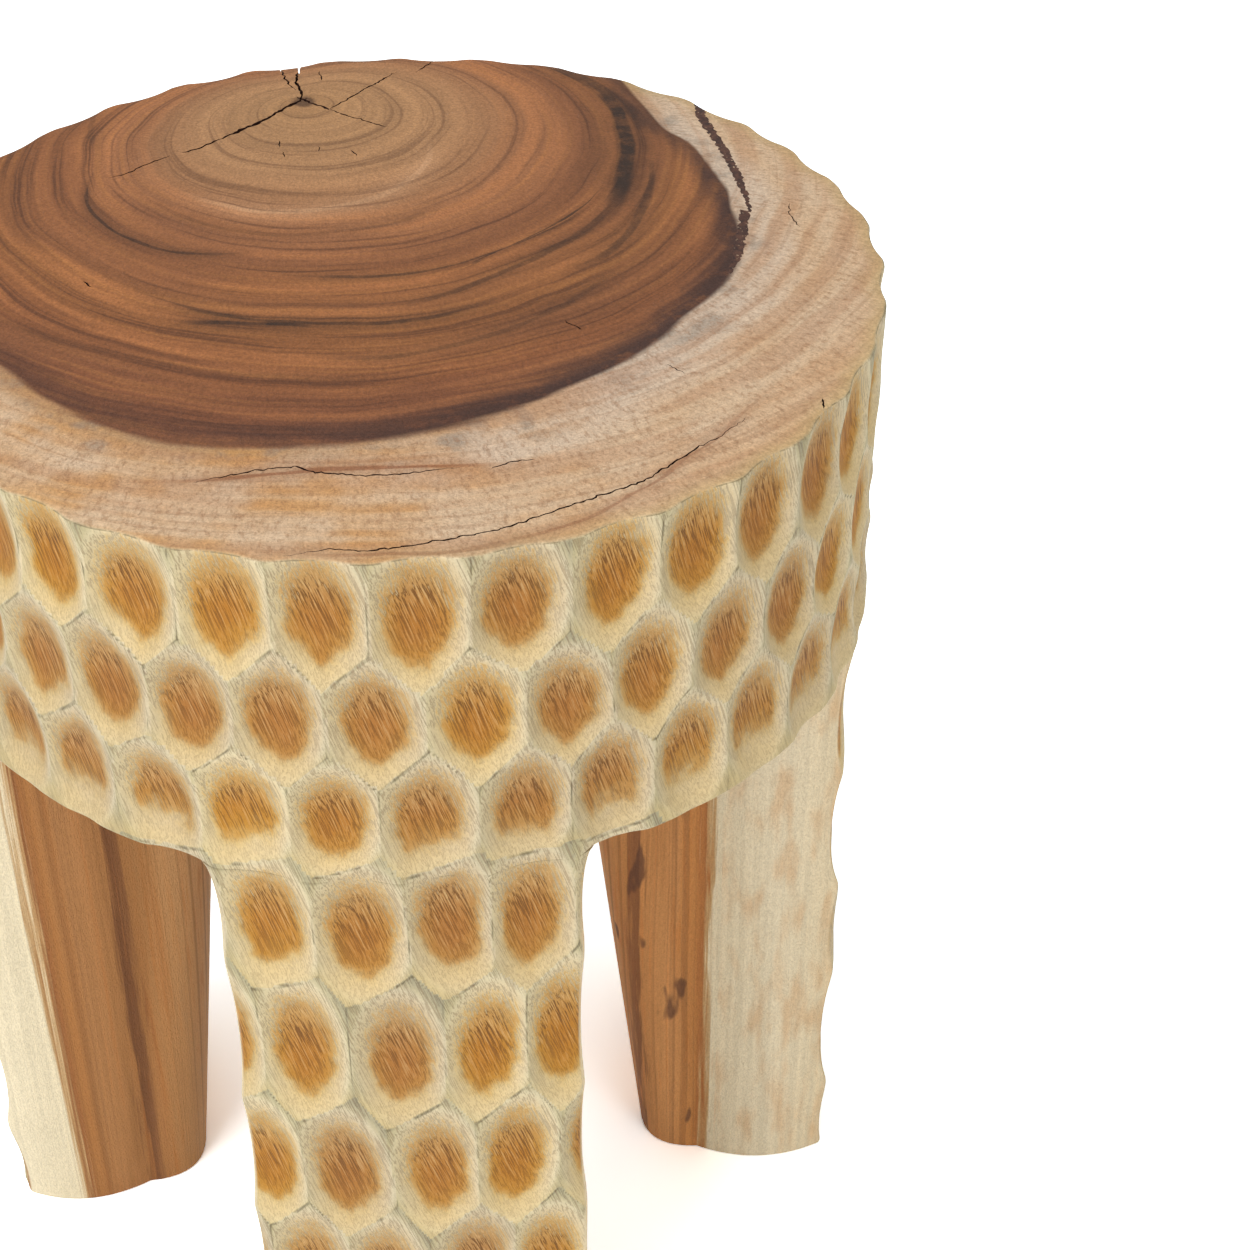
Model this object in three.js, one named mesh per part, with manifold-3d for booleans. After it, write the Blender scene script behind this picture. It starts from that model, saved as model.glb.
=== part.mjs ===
// Carved wooden stool, cut from one upright log: a thick round seat on three legs.
// The bark side of the log is gouged all over with thumbprint hollows. The legs are what is left
// of the log's outer part, so their outer faces carry on the gouged side of the seat.
// Millimetres, +Z up, feet on z = 0. Azimuths are in degrees from +X, and the front leg is at -Y.

import * as THREE from 'three';
import { mergeVertices } from 'three/addons/utils/BufferGeometryUtils.js';
import Module from 'manifold-3d';

const wasm = await Module();
wasm.setup();

// Overall sizes
const stoolHeight = 450;
const seatRadius = 170; // out to the tops of the ridges, at the seat
const skirtDepth = 124; // height of the gouged side, from the top down to the notches
const footFlare = 3; // extra radius of the log at the floor
const swellReach = 12; // the log isn't round: it swells on its left side
const swellAzimuth = 180;
const swellHalfWidth = 42; // degrees
const fitGap = 0.3; // between pieces that touch

// Gouged hollows, in staggered rows
const hollowsAround = 36;
const firstHollowAzimuth = -3.8; // of the rows that aren't staggered
const hollowDepth = 4.2;
const rimRowRise = 6; // the top row is cut through by the seat's top, this far below its ridge
const seatRowPitch = (skirtDepth + rimRowRise) / 3; // three rows on the seat
const legRowPitch = 56; // the strokes on the legs are longer
const ridgeZigzag = 8; // half the height of the zigzag between two rows
const slopeReach = 0.55; // the hollow's slope steepens this far out from its middle,
const slopeDepth = 0.72; // where it still has this share of its depth

// Legs: side faces in planes through the log's axis, inner faces leaning out towards the floor.
// Half is half of the leg's width in degrees, and inner is how far the inner face is from the axis.
// The rear legs' inner faces are turned by innerTurn, in degrees, so that they run front to back.
const sideFaceBow = 7; // the side faces are slightly rounded,
const sideFaceBowLimit = 0.12; // short ones by this share of their length
const innerCornerCut = 26;
const innerCornerLimit = 0.45; // share of a face's length that the cut corner takes at most
const flareReach = 4.5; // each side face curves out by this much where it meets the seat
const flareHeight = 36;
const flareSteps = 5;
const legs = [
  { name: 'leg_front', azimuth: -92.7, half: 20.4, innerTop: 52, innerFoot: 92, innerTurn: 0 },
  { name: 'leg_rear_right', azimuth: 19, half: 22, innerTop: 58, innerFoot: 100, innerTurn: -27 },
  { name: 'leg_rear_left', azimuth: 161.5, half: 19.5, innerTop: 73, innerFoot: 111, innerTurn: 24 },
];

// Ring shake: a curved crack along a growth ring in the top, packed with dark filler.
// Each point is an azimuth and a distance in from the rim. It starts just past the rim.
const shakeStart = { azimuth: 46, inset: -4 };
const shakeMiddle = { azimuth: 22.7, inset: 31.4 };
const shakeEnd = { azimuth: -6.2, inset: 54.4 };
const shakeWidth = 3;
const shakeDepth = 14;
const shakeBreak = 0.69; // share of its length where the crack jumps to the next ring inwards
const shakeJump = 3.6;
const shakeSteps = 24;

const woodMaterial = new THREE.MeshStandardMaterial({ color: 0xd9bf8c, roughness: 0.7, metalness: 0 });
const heartMaterial = new THREE.MeshStandardMaterial({ color: 0x9a5f33, roughness: 0.6, metalness: 0 });
const fillerMaterial = new THREE.MeshStandardMaterial({ color: 0x3b2417, roughness: 0.5, metalness: 0 });

// Point at an azimuth and a radius from the log's axis.
function around(azimuth, radius, z) {
  const angle = THREE.MathUtils.degToRad(azimuth);
  return [radius * Math.cos(angle), radius * Math.sin(angle), z];
}

// Radius of the log's ridge tops, which grows a little towards the floor and on the swollen side.
function logRadius(azimuth, z) {
  const fromSwell = Math.abs(THREE.MathUtils.euclideanModulo(azimuth - swellAzimuth + 180, 360) - 180);
  const swell = fromSwell < swellHalfWidth ? 0.5 + 0.5 * Math.cos(Math.PI * fromSwell / swellHalfWidth) : 0;
  return seatRadius + footFlare * (1 - z / stoolHeight) + swellReach * swell;
}

// Closed geometry from a list of triangles, each of three points.
function geometryFrom(triangles) {
  const geometry = new THREE.BufferGeometry();
  geometry.setAttribute('position', new THREE.Float32BufferAttribute(triangles.flat(2), 3));
  return geometry;
}

function solidFrom(geometry) {
  const bare = geometry.clone();
  bare.deleteAttribute('normal');
  bare.deleteAttribute('uv');
  const merged = mergeVertices(bare);
  return new wasm.Manifold(new wasm.Mesh({
    numProp: 3,
    vertProperties: new Float32Array(merged.attributes.position.array),
    triVerts: new Uint32Array(merged.index.array),
  }));
}

function meshFrom(solid, name, material) {
  const { vertProperties, triVerts } = solid.getMesh();
  const geometry = new THREE.BufferGeometry();
  geometry.setAttribute('position', new THREE.BufferAttribute(vertProperties, 3));
  geometry.setIndex(new THREE.BufferAttribute(triVerts, 1));
  geometry.computeVertexNormals();
  const mesh = new THREE.Mesh(geometry, material);
  mesh.name = name;
  return mesh;
}

// Heights of the ridges between the rows of hollows. One more row starts above the top, and the
// last one ends below the floor, so that the cross cuts leave no trace of the log's ragged ends.
function ridgeHeights() {
  const heights = [stoolHeight + rimRowRise + seatRowPitch];
  while (heights.at(-1) > -ridgeZigzag) {
    const onSeat = heights.at(-1) > stoolHeight - skirtDepth + 1;
    heights.push(heights.at(-1) - (onSeat ? seatRowPitch : legRowPitch));
  }
  return heights;
}

// The whole gouged log. Azimuths go in half steps, so that every other row is staggered.
// Each hollow is a six-sided cell: its corners are on the ridges and its middle is the deepest.
function gougedLog() {
  const halfSteps = 2 * hollowsAround;
  const azimuthOf = (step) => firstHollowAzimuth
    + 360 * THREE.MathUtils.euclideanModulo(step, halfSteps) / halfSteps;
  const heights = ridgeHeights();
  const ridge = (line, step) => {
    const aboveIsHollow = (line + step) % 2 !== 0;
    return [step, heights[line] + (aboveIsHollow ? -ridgeZigzag : ridgeZigzag), 0];
  };
  const place = ([step, z, depth]) => {
    const low = Math.floor(step);
    const azimuth = azimuthOf(low) + (step - low) * 360 / halfSteps;
    return around(azimuth, logRadius(azimuth, z) - depth, z);
  };
  const triangles = [];
  const add = (...corners) => triangles.push(corners.map(place));

  for (let row = 0; row < heights.length - 1; row += 1) {
    for (let step = row % 2; step < halfSteps; step += 2) {
      const corners = [
        ridge(row, step), ridge(row, step - 1), ridge(row + 1, step - 1),
        ridge(row + 1, step), ridge(row + 1, step + 1), ridge(row, step + 1),
      ];
      const middle = [step, (heights[row] + heights[row + 1]) / 2, hollowDepth];
      const slope = corners.map((corner) => [
        middle[0] + slopeReach * (corner[0] - middle[0]),
        middle[1] + slopeReach * (corner[1] - middle[1]),
        hollowDepth * slopeDepth,
      ]);
      for (let side = 0; side < 6; side += 1) {
        const next = (side + 1) % 6;
        add(middle, slope[side], slope[next]);
        add(slope[side], corners[side], corners[next]);
        add(slope[side], corners[next], slope[next]);
      }
    }
  }

  const lastLine = heights.length - 1;
  const topCentre = [0, 0, heights[0]];
  const footCentre = [0, 0, heights[lastLine]];
  for (let step = 0; step < halfSteps; step += 1) {
    triangles.push([topCentre, place(ridge(0, step)), place(ridge(0, step + 1))]);
    triangles.push([footCentre, place(ridge(lastLine, step + 1)), place(ridge(lastLine, step))]);
  }
  return solidFrom(geometryFrom(triangles));
}

// A wide disc between two heights, which cuts the log across.
function crossCut(low, high) {
  const disc = new THREE.CylinderGeometry(2 * seatRadius, 2 * seatRadius, high - low, 32);
  disc.rotateX(Math.PI / 2);
  disc.translate(0, 0, (low + high) / 2);
  return solidFrom(disc);
}

// Half of a leg's section in its own frame, from past the log to the middle of the inner face.
// Side is 1 for its anticlockwise half, and -1 for its other half, drawn mirrored.
function legHalfSection(leg, z, side) {
  const legTop = stoolHeight - skirtDepth;
  const half = THREE.MathUtils.degToRad(leg.half);
  const turn = THREE.MathUtils.degToRad(side * leg.innerTurn);
  const inner = THREE.MathUtils.lerp(leg.innerFoot, leg.innerTop, z / legTop);
  const upFlare = Math.max(0, 1 - (legTop - z) / flareHeight);
  const flare = flareReach * (1 - Math.sqrt(1 - upFlare ** 2));
  const ray = (radius, hand) => new THREE.Vector2(
    radius * Math.cos(half) - flare * Math.sin(half),
    hand * (radius * Math.sin(half) + flare * Math.cos(half)),
  );

  const arris = ray(seatRadius, 1);
  const corner = ray(inner * Math.cos(turn) / Math.cos(half - turn), 1);
  const otherCorner = ray(inner * Math.cos(turn) / Math.cos(half + turn), -1);
  const sideLength = corner.distanceTo(arris);
  const faceLength = corner.distanceTo(otherCorner);
  const cut = Math.min(innerCornerCut, innerCornerLimit * sideLength, innerCornerLimit * faceLength);
  const sideStart = corner.clone().lerp(arris, cut / sideLength);
  const faceStart = corner.clone().lerp(otherCorner, cut / faceLength);
  const bow = 2 * Math.min(sideFaceBow, sideFaceBowLimit * sideLength);
  const outward = new THREE.Vector2(-Math.sin(half), Math.cos(half));
  const sideMiddle = sideStart.clone().lerp(arris, 0.5).addScaledVector(outward, bow);
  return [
    ray(1.4 * seatRadius, 1),
    ...new THREE.QuadraticBezierCurve(arris, sideMiddle, sideStart).getPoints(6),
    ...new THREE.QuadraticBezierCurve(sideStart, corner, faceStart).getPoints(4).slice(1),
  ];
}

// Outline of a leg's section at a height, as seen from above and anticlockwise.
// It reaches past the log, whose gouged side cuts it off.
function legSection(leg, z) {
  const upper = legHalfSection(leg, z, 1);
  const lower = legHalfSection(leg, z, -1).map((point) => new THREE.Vector2(point.x, -point.y)).reverse();
  return [...upper, ...lower].map((point) => {
    point.rotateAround(new THREE.Vector2(), THREE.MathUtils.degToRad(leg.azimuth));
    return [point.x, point.y, z];
  });
}

// Solid through sections that all have the same number of points, from the lowest up.
function loftedSolid(sections) {
  const triangles = [];
  const bottom = sections[0];
  const top = sections.at(-1);
  const flat = bottom.map(([x, y]) => new THREE.Vector2(x, y));
  for (const [a, b, c] of THREE.ShapeUtils.triangulateShape(flat, [])) {
    triangles.push([bottom[c], bottom[b], bottom[a]], [top[a], top[b], top[c]]);
  }
  for (let level = 0; level < sections.length - 1; level += 1) {
    const low = sections[level];
    const high = sections[level + 1];
    low.forEach((point, index) => {
      const next = (index + 1) % low.length;
      triangles.push([point, low[next], high[next]], [point, high[next], high[index]]);
    });
  }
  return solidFrom(geometryFrom(triangles));
}

function makeLeg(log, leg) {
  const legTop = stoolHeight - skirtDepth - fitGap;
  const heights = [0];
  for (let step = 0; step <= flareSteps; step += 1) {
    heights.push(legTop - flareHeight * (1 - step / flareSteps));
  }
  const blank = loftedSolid(heights.map((z) => legSection(leg, z)));
  return meshFrom(log.intersect(blank), leg.name, heartMaterial);
}

// Curve of the ring shake in plan, through its three named points.
function shakeCurve() {
  const planPoint = ({ azimuth, inset }) => new THREE.Vector2(...around(azimuth, seatRadius - inset, 0));
  const start = planPoint(shakeStart);
  const end = planPoint(shakeEnd);
  const control = planPoint(shakeMiddle).multiplyScalar(2).sub(start.clone().add(end).multiplyScalar(0.5));
  return new THREE.QuadraticBezierCurve(start, control, end);
}

// Upright strip along part of the shake, from the seat's top down.
function shakeStrip(from, to, jump, width, depth, ends) {
  const curve = shakeCurve();
  const count = Math.max(2, Math.round(shakeSteps * (to - from)));
  const left = [];
  const right = [];
  for (let index = 0; index <= count; index += 1) {
    const share = from + (to - from) * index / count;
    const along = curve.getTangent(share);
    const across = new THREE.Vector2(-along.y, along.x);
    const beyond = index === 0 ? -ends : index === count ? ends : 0;
    const middle = curve.getPoint(share).addScaledVector(along, beyond).addScaledVector(across, -jump);
    left.push(middle.clone().addScaledVector(across, width / 2));
    right.unshift(middle.clone().addScaledVector(across, -width / 2));
  }
  const outline = new THREE.Shape([...left, ...right]);
  const strip = new THREE.ExtrudeGeometry(outline, { depth, bevelEnabled: false });
  strip.translate(0, 0, stoolHeight - shakeDepth);
  return solidFrom(strip);
}

const shakeParts = [
  { name: 'shake_filler_rear', from: 0, to: shakeBreak, jump: 0 },
  { name: 'shake_filler_front', from: shakeBreak, to: 1, jump: shakeJump },
];

// The filler is flush with the seat's top and, where the shake reaches it, with its gouged side.
function makeFiller(log, { name, from, to, jump }) {
  const strip = shakeStrip(from, to, jump, shakeWidth, shakeDepth, 0);
  return meshFrom(log.intersect(strip), name, fillerMaterial);
}

// The seat is the log above the notches, with a slot for each strip of filler.
function makeSeat(log) {
  let seat = log.intersect(crossCut(stoolHeight - skirtDepth, stoolHeight));
  for (const { from, to, jump } of shakeParts) {
    const slot = shakeStrip(from, to, jump, shakeWidth + 2 * fitGap, 2 * shakeDepth, fitGap);
    seat = seat.subtract(slot.translate([0, 0, -fitGap]));
  }
  return meshFrom(seat, 'seat_drum', woodMaterial);
}

const log = gougedLog();
const stool = new THREE.Group();
stool.add(makeSeat(log));
legs.forEach((leg) => stool.add(makeLeg(log, leg)));
shakeParts.forEach((part) => stool.add(makeFiller(log, part)));

// The origin is on the floor under the middle of the stool's box.
const middle = new THREE.Box3().setFromObject(stool).getCenter(new THREE.Vector3());
stool.position.set(-middle.x, -middle.y, 0);

export default stool;
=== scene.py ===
# %% [markdown]
# # A stool carved from one log
#
# The real stool is one upright piece of a tropical tree. Its top is sawn and sanded end grain:
# dark heartwood in an uneven round, with pale sapwood outside it. Its side was worked with a
# wide gouge into rows of thumbprint hollows, and the lower part was cut away to leave three legs.
#
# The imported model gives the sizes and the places. Here each piece is made again as a fine mesh
# and gets its finish: the seat, the three legs, and the dark filler in the crack in the top.

import math

import bpy
import numpy as np
from mathutils import Matrix, Vector
from mathutils.geometry import delaunay_2d_cdt


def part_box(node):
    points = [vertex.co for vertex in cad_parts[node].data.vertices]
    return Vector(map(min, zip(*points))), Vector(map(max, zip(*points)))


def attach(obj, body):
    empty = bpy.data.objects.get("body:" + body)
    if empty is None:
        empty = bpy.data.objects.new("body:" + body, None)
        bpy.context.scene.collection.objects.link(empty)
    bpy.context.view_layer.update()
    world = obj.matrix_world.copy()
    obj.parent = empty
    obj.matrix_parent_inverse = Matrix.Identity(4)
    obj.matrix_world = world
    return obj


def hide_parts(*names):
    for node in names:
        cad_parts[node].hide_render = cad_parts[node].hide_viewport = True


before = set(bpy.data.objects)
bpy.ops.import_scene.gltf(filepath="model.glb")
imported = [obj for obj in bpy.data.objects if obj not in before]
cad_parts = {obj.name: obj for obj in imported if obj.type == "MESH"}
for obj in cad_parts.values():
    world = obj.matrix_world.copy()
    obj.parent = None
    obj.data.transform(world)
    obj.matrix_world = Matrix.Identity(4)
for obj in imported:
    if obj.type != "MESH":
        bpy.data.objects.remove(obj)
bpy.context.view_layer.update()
print("nodes:", sorted(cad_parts))

# %% [markdown]
# ## The camera
#
# The photograph looks down on the stool from a little over its seat, with a long lens. The place,
# the turn and the lens were worked out from the ellipse of the seat's top and from the way the
# upright edges draw together. The picture is square, and the stool runs out of it at the left.

# %% Camera
EYE = Vector((0.005977, -0.75057, 0.869815))
EYE_TURN = math.radians(6.208)  # to the right
EYE_DIP = math.radians(37.351)  # below the horizon
EYE_ROLL = 0.008  # radians
LENS_MM = 72.13  # on a sensor 36 mm wide

forward = Vector((
    math.sin(EYE_TURN) * math.cos(EYE_DIP),
    math.cos(EYE_TURN) * math.cos(EYE_DIP),
    -math.sin(EYE_DIP),
))
level_right = forward.cross(Vector((0, 0, 1))).normalized()
level_up = level_right.cross(forward)
right = level_right * math.cos(EYE_ROLL) + level_up * math.sin(EYE_ROLL)
up = level_up * math.cos(EYE_ROLL) - level_right * math.sin(EYE_ROLL)

camera_data = bpy.data.cameras.new("camera")
camera_data.lens = LENS_MM
camera_data.sensor_width = 36
camera = bpy.data.objects.new("camera", camera_data)
camera.matrix_world = Matrix.Translation(EYE) @ Matrix((right, up, -forward)).transposed().to_4x4()
bpy.context.scene.collection.objects.link(camera)
bpy.context.scene.camera = camera
print("camera at", [round(value, 3) for value in EYE])

# %% [markdown]
# ## Nodes
#
# A material is a net of nodes. Writing one node takes three steps: make it, set it, and fill its
# inputs with numbers, colours or the outputs of other nodes. One small function does all three,
# so that the recipes below read as a list of what goes into what.

# %% One helper for nodes, and one for colours
def add(tree, kind, inputs=None, output=0, stops=(), knots=(), **settings):
    """Add a node, apply its settings, fill or link its inputs, and return one of its outputs. Stops
    are the places and hex colours of a colour ramp, and knots a curve's points, its ends first."""
    node = tree.nodes.new(kind)
    for name, value in settings.items():
        setattr(node, name, value)
    for count, (place, colour) in enumerate(stops):
        elements = node.color_ramp.elements
        element = elements[count] if count < len(elements) else elements.new(place)
        element.position = place
        element.color = linear(colour)
    for count, knot in enumerate(knots):
        points = node.mapping.curves[0].points
        if count < 2:
            points[count].location = knot
        else:
            points.new(*knot)
        node.mapping.update()
    for name, value in (inputs or {}).items():
        if isinstance(value, bpy.types.NodeSocket):
            tree.links.new(value, node.inputs[name])
        else:
            node.inputs[name].default_value = linear(value) if isinstance(value, str) else value
    return node.outputs[output]


def linear(hex_colour):
    """An sRGB hex colour, such as "d9bf8c", as the linear red, green, blue and alpha of a node."""
    channels = [int(hex_colour[place:place + 2], 16) / 255 for place in (0, 2, 4)]
    return [c / 12.92 if c <= 0.04045 else ((c + 0.055) / 1.055) ** 2.4 for c in channels] + [1.0]


def new_material(name, roughness, specular):
    """A material with its node tree and its shader, and how rough and how shiny the surface is."""
    material = bpy.data.materials.new(name)
    material.use_nodes = True
    shader = material.node_tree.nodes["Principled BSDF"]
    shader.inputs["Roughness"].default_value = roughness
    shader.inputs["Specular IOR Level"].default_value = specular
    return material, material.node_tree, shader


print("cream ridge in linear light:", [round(c, 3) for c in linear("dcc795")])

# %% [markdown]
# ## Floor and light
#
# The stool stands on white paper in a bright studio. Much of the light is a soft glow from all
# round. A big soft lamp hangs high over the front for the top. Two low ones in front reach the
# legs under the seat, and the left one is stronger, which leaves each hollow a little darker on
# its left slope. The camera sees the paper as pure white, save for the shadows at the feet.

# %% Floor
FLOOR_SIZE = 8  # m
PAPER_SEEN = 2.4  # how white the camera sees the lit paper: a little over white
PAPER_BOUNCE = 0.8
PAPER_TINT = (0.93, 0.98, 1.0)  # a touch blue, as whiteners make it, against the warm glow of the wood

bpy.context.scene.view_settings.view_transform = "Standard"
bpy.ops.mesh.primitive_plane_add(size=FLOOR_SIZE)
floor = bpy.context.object
floor.name = "floor"
paper, tree, shader = new_material("white_paper", roughness=0.9, specular=0.0)
rays = tree.nodes.new("ShaderNodeLightPath")
seen = add(tree, "ShaderNodeMath", {
    0: rays.outputs["Is Camera Ray"], 1: rays.outputs["Is Glossy Ray"],
}, operation="MAXIMUM")
paper_tone = add(tree, "ShaderNodeMapRange", {
    "Value": seen, "To Min": PAPER_BOUNCE, "To Max": PAPER_SEEN,
})
paper_colour = add(tree, "ShaderNodeVectorMath", {0: paper_tone, 1: PAPER_TINT}, operation="MULTIPLY")
tree.links.new(paper_colour, shader.inputs["Base Color"])
floor.data.materials.append(paper)
print("white paper,", FLOOR_SIZE, "m square")

# %% Sky glow and lamps
SKY_GLOW = 0.55
world = bpy.data.worlds.new("studio")
bpy.context.scene.world = world
world.use_nodes = True
tree = world.node_tree
rays = tree.nodes.new("ShaderNodeLightPath")
seen = 0.0
for kind_of_ray in ("Is Camera Ray", "Is Glossy Ray", "Is Transmission Ray"):
    seen = add(tree, "ShaderNodeMath", {0: seen, 1: rays.outputs[kind_of_ray]}, operation="MAXIMUM")
glow = add(tree, "ShaderNodeMapRange", {"Value": seen, "To Min": SKY_GLOW, "To Max": 1.0})
tree.links.new(glow, tree.nodes["Background"].inputs["Strength"])
tree.nodes["Background"].inputs["Color"].default_value = (1, 1, 1, 1)

LAMP_AIM = Vector((0, 0, 0.3))
LAMPS = [  # name, place, size in metres and watts
    ("soft_box_high", Vector((-0.8, -0.7, 2.1)), 1.1, 16),
    ("soft_box_low_left", Vector((-1.5, -2.0, 0.75)), 1.3, 22),
    ("soft_box_low_right", Vector((1.3, -2.0, 0.7)), 1.0, 14),
]
for name, place, size, watts in LAMPS:
    lamp_data = bpy.data.lights.new(name, "AREA")
    lamp_data.shape = "SQUARE"
    lamp_data.size = size
    lamp_data.energy = watts
    lamp = bpy.data.objects.new(name, lamp_data)
    lamp.location = place
    lamp.rotation_euler = (LAMP_AIM - place).to_track_quat("-Z", "Y").to_euler()
    bpy.context.scene.collection.objects.link(lamp)
    print(name, round((LAMP_AIM - place).length, 2), "m from the stool")

# %% [markdown]
# ## The log
#
# All pieces come from one log, so one function gives the log's own surface and every piece takes
# its outer face from it. Lengths are in millimetres from the log's upright axis and from the
# floor, and azimuths in degrees from the right, with the front leg at -90. The log is not quite
# round: it widens a little towards the floor, swells on the left, and wavers by a millimetre.

# %% Surface of the log before it is gouged
MM = 0.001
LOG_AXIS_MM = np.array([5.977, 1.0, 0.0])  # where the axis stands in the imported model
STOOL_HEIGHT = 1000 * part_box("seat_drum")[1].z
SEAT_UNDERSIDE = 1000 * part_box("seat_drum")[0].z
SEAT_RADIUS = 170
FOOT_FLARE = 3
SWELL_REACH = 12
SWELL_AZIMUTH = 180
SWELL_HALF_WIDTH = 42
WAVER = 0.9
WAVER_HEIGHT = 130  # mm up the log for each radian of a waver
WAVER_INSET = 0.6  # share of the waver by which all of it lies further in
random = np.random.default_rng(36)
waver_phases = random.uniform(0, 2 * np.pi, 6)


def turn_between(azimuth, other):
    """Degrees from one azimuth to another, between -180 and 180."""
    return (azimuth - other + 180) % 360 - 180


def log_radius(azimuth, z):
    """Distance from the log's axis to its surface, in millimetres."""
    from_swell = np.abs(turn_between(azimuth, SWELL_AZIMUTH))
    swell = np.where(from_swell < SWELL_HALF_WIDTH,
                     0.5 + 0.5 * np.cos(np.pi * from_swell / SWELL_HALF_WIDTH), 0)
    waver = sum(np.sin((count + 2) * np.radians(azimuth) + phase + z / WAVER_HEIGHT)
                for count, phase in enumerate(waver_phases))
    flared = SEAT_RADIUS + FOOT_FLARE * (1 - z / STOOL_HEIGHT)
    return flared + SWELL_REACH * swell + WAVER * (waver / 3 - WAVER_INSET)


print("seat from", round(SEAT_UNDERSIDE, 1), "to", round(STOOL_HEIGHT, 1), "mm")

# %% [markdown]
# ## The gouged hollows
#
# Each hollow is one stroke of a wide gouge: a shallow oval scoop, a little deeper at its lower
# end. Where two scoops meet they leave a ridge, and where three meet a small patch of the log's
# old surface stays. A bump map could fake this, but the outline of the rim is cut by the hollows
# too, so they are real shape: the surface at a point is cut by the scoop that reaches deepest
# there, with the ridges softened by the sanding. Rows are staggered, and every stroke differs.

# %% Where the hollows are
HOLLOWS_AROUND = 36
HOLLOW_ROWS = [  # middle of the row below the seat's top, half of its hollows' height, azimuth of one
    (19, 26, 1.5),
    (60, 24.5, 6.3),
    (100, 24.5, 1.2),
    (144, 31, 2.3),
    (202, 34, 5.8),
    (260, 34, 9.5),
    (318, 34, 3.3),
    (376, 34, 7.9),
    (434, 34, 2.7),
]
HALF_WIDTH = 15.7
HOLLOW_DEPTH = 4.3
BOWL_POWER = 2.6  # 2 is a bowl like a lens, and more makes its sides steeper and its middle flatter
LEGS = [  # azimuth and half width in degrees, the inner face's distance from the axis and its turn
    dict(name="leg_front", azimuth=-92.7, half=20.4, inner_top=52, inner_foot=92, inner_turn=0),
    dict(name="leg_rear_right", azimuth=19, half=22, inner_top=58, inner_foot=100, inner_turn=-27),
    dict(name="leg_rear_left", azimuth=161.5, half=19.5, inner_top=73, inner_foot=111, inner_turn=24),
]
PAST_ARRIS = 7  # degrees: a hollow whose middle is this far off a leg still nicks its arris
AZIMUTH_JITTER = 0.7  # degrees
HEIGHT_JITTER = 2.2  # mm

hollows = []
for below, half_height, first_azimuth in HOLLOW_ROWS:
    for count in range(HOLLOWS_AROUND):
        azimuth = first_azimuth + 360 / HOLLOWS_AROUND * count
        azimuth += random.uniform(-AZIMUTH_JITTER, AZIMUTH_JITTER)
        hollow = dict(
            azimuth=azimuth,
            z=STOOL_HEIGHT - below + random.uniform(-HEIGHT_JITTER, HEIGHT_JITTER),
            half_width=HALF_WIDTH * random.uniform(0.95, 1.05),
            half_height=half_height * random.uniform(0.93, 1.07),
            depth=HOLLOW_DEPTH * random.uniform(0.85, 1.12),
            lean=random.uniform(-0.12, 0.12),
            tone=random.uniform(0, 1),
        )
        on_leg = any(
            abs(turn_between(azimuth, leg["azimuth"])) < leg["half"] + PAST_ARRIS for leg in LEGS
        )
        if on_leg or STOOL_HEIGHT - below > SEAT_UNDERSIDE:
            hollows.append(hollow)
print(len(hollows), "hollows")

# %% How deep they cut
RIDGE_SOFTNESS = 0.4  # mm
LOWER_END = 0.22  # how much deeper the lower half is
NEAR_UP = 1.6  # half heights from a hollow's middle, past which its scoop can't cut
NEAR_ACROSS = 1.8  # half widths, the same
NO_CUT = -9.0  # mm: less deep than any scoop


def gouge(azimuth, z):
    """Depth cut away at each point, its place in the hollow that cuts deepest there (across and up,
    from -1 to 1), that hollow's tone, and how much deeper it cuts than the next one."""
    shape = azimuth.shape
    heaped = np.ones(shape)
    deepest = np.full(shape, NO_CUT)
    second = np.full(shape, NO_CUT)
    across, rise, tone = np.zeros(shape), np.zeros(shape), np.zeros(shape)
    for hollow in hollows:
        v = (z - hollow["z"]) / hollow["half_height"]
        u = turn_between(azimuth, hollow["azimuth"]) * np.radians(SEAT_RADIUS) / hollow["half_width"]
        near = np.nonzero((np.abs(v) < NEAR_UP) & (np.abs(u) < NEAR_ACROSS))
        v = v[near]
        u = u[near] + hollow["lean"] * v
        cut = hollow["depth"] * (1 - np.hypot(u, v) ** BOWL_POWER) * (1 - LOWER_END * v)
        heaped[near] += np.exp(cut / RIDGE_SOFTNESS)
        wins = cut > deepest[near]
        second[near] = np.where(wins, deepest[near], np.maximum(second[near], cut))
        deepest[near] = np.where(wins, cut, deepest[near])
        across[near] = np.where(wins, u, across[near])
        rise[near] = np.where(wins, v, rise[near])
        tone[near] = np.where(wins, hollow["tone"], tone[near])
    return RIDGE_SOFTNESS * np.log(heaped), across, rise, tone, deepest - second


def gouged_radius(azimuth, z):
    return log_radius(azimuth, z) - gouge(azimuth, z)[0]


at_front = gouged_radius(np.full(2, -90.0), np.array([0, STOOL_HEIGHT]))
print("the gouged front is", *at_front.round(1), "mm from the axis at the floor and at the top")

# %% [markdown]
# ## Meshes from loops
#
# A piece cut from a log is a stack of closed outlines, one over the other, with a lid at each
# end. The side is a plain grid of quads between the outlines. A lid as one huge face would make
# long slivers, so it is filled with a lattice of points and a Delaunay net.

# %% Stack outlines into a piece
LATTICE_GAP = 0.6  # of the lattice's spacing, from the outline to the lattice


def polar(radii, azimuths):
    """Points at distances and azimuths from the log's axis, as x and y."""
    return np.dstack([radii * np.cos(np.radians(azimuths)), radii * np.sin(np.radians(azimuths))])


def mesh_object(name, mesh):
    piece = bpy.data.objects.new(name, mesh)
    bpy.context.scene.collection.objects.link(piece)
    return piece


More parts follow.
